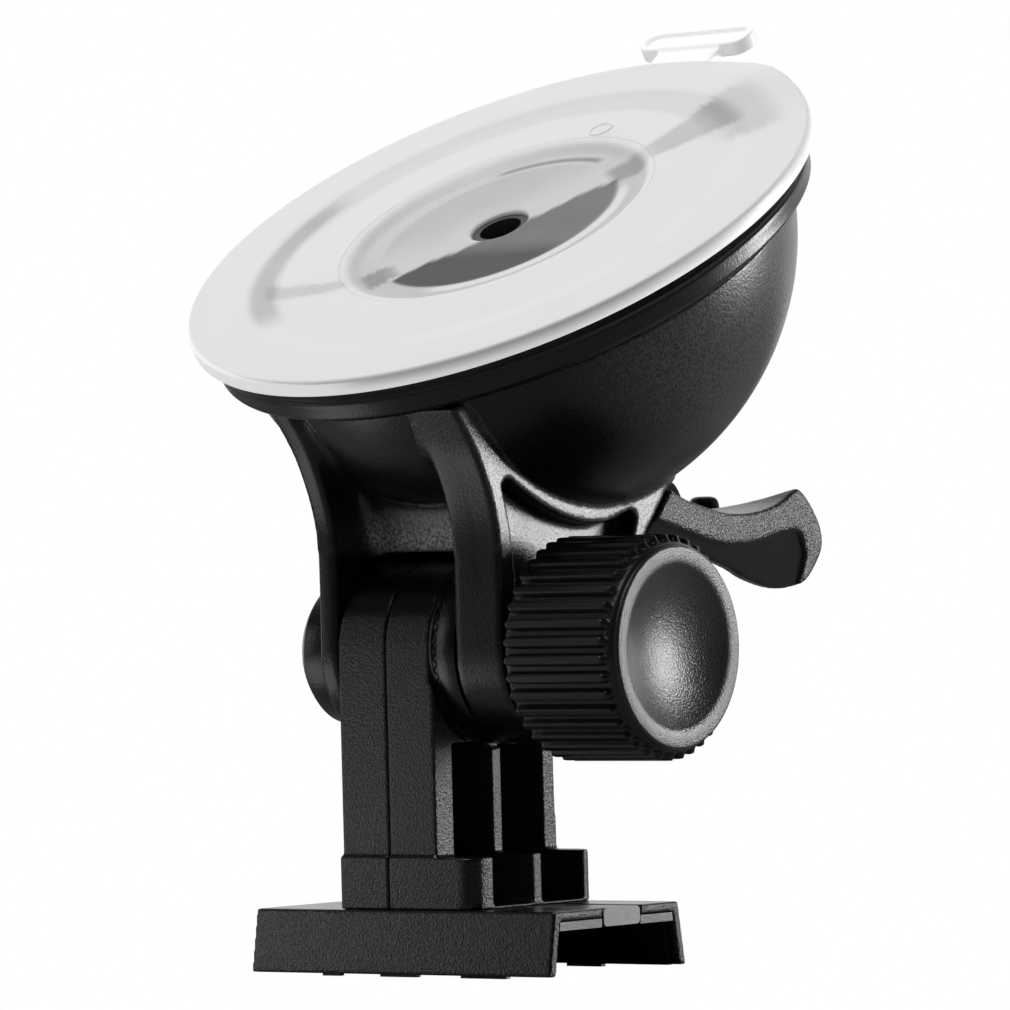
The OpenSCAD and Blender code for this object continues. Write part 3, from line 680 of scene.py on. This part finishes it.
def make_knob():
    """Grip with raised ribs whose ends are round, and its dished front."""
    to_hinge = Matrix.Translation(HINGE) @ Matrix.Rotation(math.pi / 2, 4, "Y")
    floor_r, crest_r, rib_half = 10.4, 11.15, 0.62
    per_rib = 18
    steps = RIBS * per_rib
    outline = [(4.2, 23.5), (4.2, 13.8), (5.6, 13.8), (5.6, KNOB_BACK), (9.9, KNOB_BACK)]
    outline += arc((9.9, KNOB_BACK + 0.5), 0.5, -90, 0, 4)
    for low, high, count in ((13.15, 14.2, 10), (14.6, 23.6, 13), (23.9, 25.2, 14)):
        outline += [(floor_r, z) for z in np.linspace(low, high, count)]
    outline += arc((9.7, 25.35), 0.72, 10, 90, 6)
    outline += [(9.35, 26.1), (9.35, 23.5)]
    points, faces = revolve(outline, steps)
    angle = np.arctan2(points[:, 1], points[:, 0])
    reach = np.hypot(points[:, 0], points[:, 1])
    pitch = 2 * math.pi / RIBS
    beside = (angle / pitch - np.round(angle / pitch)) * pitch * crest_r
    z = points[:, 2]
    end = np.maximum(0, np.maximum(13.5 - z, z - 24.75))
    gap = rib_half - np.hypot(beside, end)
    lift = (crest_r - floor_r) * fade(gap, -0.06, 0.3)
    lift = np.where(reach > 10.2, lift, 0)
    points[:, :2] *= ((reach + lift) / reach)[:, None]
    make_piece("knob_grip", points, faces, "knob", "knob_black", ["knob"], to_hinge)
    dish_r, dish_depth = 8.4, 1.9
    ball = (dish_r ** 2 + dish_depth ** 2) / (2 * dish_depth)
    bowl = [(dish_r * t, KNOB_FRONT - dish_depth + ball - math.sqrt(ball ** 2 - (dish_r * t) ** 2))
            for t in np.linspace(0, 0.975, 40)]
    front = bowl + [(8.5, KNOB_FRONT - 0.04), (8.75, KNOB_FRONT)]
    front += [(9.75, KNOB_FRONT), *arc((9.75, KNOB_FRONT - 0.35), 0.35, 90, 0, 5), (10.05, 25.6), (9.2, 25.4),
              (9.2, 24.0), (0, 24.0)]
    points, faces = revolve(front)
    face = make_piece("knob_front", points, faces, "knob", "knob_face", ["knob_cap"], to_hinge)
    away = per_point(face.data, "co") / MM - HINGE_MM
    store(face, "dull", 0.15 * fade(np.hypot(away[:, 1], away[:, 2]), 8.3, 8.6))


# ---- Lever, stem and cradle ----

def soft_copy(name, nodes, voxel, body, slot, extras=(), erosion_and_painted_sheen=None):
    """CAD nodes skinned over, with their corners rounded as a mould rounds them."""
    points, quads = remeshed(nodes, voxel, extras)
    points = soften(points, quads, 5)
    points = relax(points, quads, 2)
    piece = make_piece(name, points, quads, body, slot, nodes, weld=False)
    if erosion_and_painted_sheen:
        store(piece, "erosion_and_painted_sheen", erosion_and_painted_sheen(points, normals_of(points, quads)))
    return piece


def flat_sides(points, normals):
    """Upright flat faces are spark eroded; rounded corners and faces that look up or down are smooth."""
    return fade(np.abs(normals[:, :2]).max(axis=1), 0.9, 0.985)


def lever_band(points, normals):
    """The lever's raised band is spark eroded."""
    return fade(np.abs(points[:, 0]), 11.2, 11.5)


def make_lever():
    """Cam lever with a small boss on its top, a coarse band and a matt panel below the band."""
    outline = [(0, -1.2), (1.9, -1.2), *arc((0.9, -0.2), 0.95, 0, 90, 5), (0, 0.75)]
    points, faces = revolve(outline, 40)
    place = Matrix.Translation(HINGE / MM + Vector((0, 40.2, 14.0)))
    extras = [([tuple(place @ Vector((x * 0.95, y * 0.7, z))) for x, y, z in points], faces)]
    shell = soft_copy("lever_shell", ["lever"], 0.22, "lever", "black_texture", extras, lever_band)
    across = np.abs(per_point(shell.data, "co")[:, 0] / MM)
    sideways = np.abs(per_point(shell.data, "normal")[:, 0])
    store(shell, "dull", fade(-across, -11.5, -11.2) * fade(sideways, 0.5, 0.8))


def make_stem():
    """The stem's two halves, with the seam between them kept."""
    soft_copy("stem_left_shell", ["stem_half_left"], 0.2, "stem", "black_texture", (), flat_sides)
    soft_copy("stem_right_shell", ["stem_half_right"], 0.2, "stem", "black_texture", (), flat_sides)


def make_cradle():
    """The cradle's outer shell."""
    soft_copy("cradle_shell", ["base_shell"], 0.2, "stem", "black_texture", (), flat_sides)


# On these nodes a bevel would only leave empty faces on the shortest edges
TOO_FINE_TO_ROUND = ("rail_liner",)


def dress_cad_node(node):
    """Gives a CAD node its material, and rounds its edges a little where they are long enough."""
    edge_mm = 0.15
    part = frame["nodes"][node]
    part.data.materials.clear()
    part.data.materials.append(MATERIALS[SLOT_OF[node]])
    weld = part.modifiers.new("weld", "WELD")
    weld.merge_threshold = WELD_MM * MM
    if node in TOO_FINE_TO_ROUND:
        return
    bevel = part.modifiers.new("bevel", "BEVEL")
    bevel.width = edge_mm * MM
    bevel.segments = 2
    bevel.limit_method = "ANGLE"
    bevel.angle_limit = math.radians(35)


make_camera()
make_stage()
for node in frame["nodes"]:
    dress_cad_node(node)
make_dome()
make_rim()
make_pad()
make_spring()
make_knob()
make_lever()
make_stem()
make_cradle()
